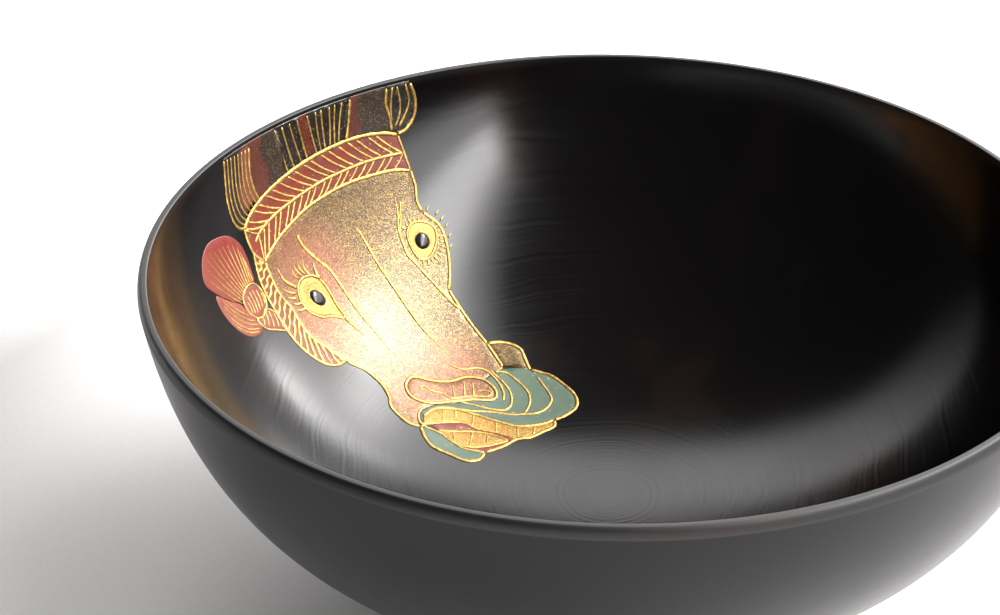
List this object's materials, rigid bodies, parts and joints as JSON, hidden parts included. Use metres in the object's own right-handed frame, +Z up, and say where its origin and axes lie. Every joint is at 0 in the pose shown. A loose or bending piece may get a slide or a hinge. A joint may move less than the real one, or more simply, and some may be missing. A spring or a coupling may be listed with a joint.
{
  "type": "lacquered wooden bowl",
  "caption": "Thin-walled turned wooden bowl on a foot ring, under black lacquer, with a bridled horse's head in raised gold and coloured lacquer inside.",
  "frame": {"origin": "on the table, at the middle of the foot ring", "axes": "+Z up along the bowl's turning axis, from the foot to the rim; the painted head lies on the wall towards -X and +Y"},
  "size_m": [0.121, 0.121, 0.049],
  "materials": {
    "turned_wood": "open-grained zelkova, turned",
    "black_lacquer": "semi-gloss hand-polished black urushi",
    "satin_black_lacquer": "satin black urushi",
    "russet_lacquer": "russet lacquer under sparse gold dust",
    "mane_lacquer": "black lacquer",
    "red_lacquer": "vermilion lacquer",
    "coral_lacquer": "light vermilion lacquer",
    "gold_dusted_lacquer": "gold powder sprinkled on brown lacquer",
    "green_lacquer": "grey-green lacquer",
    "gold_leaf_field": "burnished gold powder",
    "pupil_lacquer": "gloss black urushi, built up to a low dome",
    "gold_line": "raised gold line"
  },
  "bodies": {
    "root": {"brow_line": "gold_line", "browband_braid": "gold_line", "browband_field": "red_lacquer", "cheek_rope_field": "red_lacquer", "cheek_rope_goldwork": "gold_line", "face_field": "gold_dusted_lacquer", "foot_lacquer": "satin_black_lacquer", "forehead_line": "gold_line", "forelock_left_field": "russet_lacquer", "forelock_right_field": "russet_lacquer", "gum_field": "red_lacquer", "head_outline": "gold_line", "inner_lacquer": "black_lacquer", "left_eye": "gold_leaf_field", "left_eye_rim": "gold_line", "left_lock_field": "mane_lacquer", "left_pupil": "pupil_lacquer", "lip_arcs": "gold_line", "lip_front_arc": "gold_line", "lip_middle_arc": "gold_line", "lower_lip_field": "green_lacquer", "lower_teeth": "gold_leaf_field", "mane_field": "mane_lacquer", "mane_goldwork": "gold_line", "mouth_field": "red_lacquer", "nose_line": "gold_line", "nose_tip_field": "gold_dusted_lacquer", "nostril_field": "gold_dusted_lacquer", "nostril_line": "gold_line", "outer_lacquer": "satin_black_lacquer", "recess_lacquer": "satin_black_lacquer", "right_eye": "gold_leaf_field", "right_eye_rim": "gold_line", "right_lock_field": "mane_lacquer", "right_pupil": "pupil_lacquer", "small_tassel_field": "coral_lacquer", "tassel_field": "coral_lacquer", "tassel_goldwork": "gold_line", "tassel_knot": "coral_lacquer", "tassel_strap": "coral_lacquer", "upper_lip_field": "green_lacquer", "upper_teeth": "gold_leaf_field", "wooden_core": "turned_wood"}
  },
  "joints": []
}
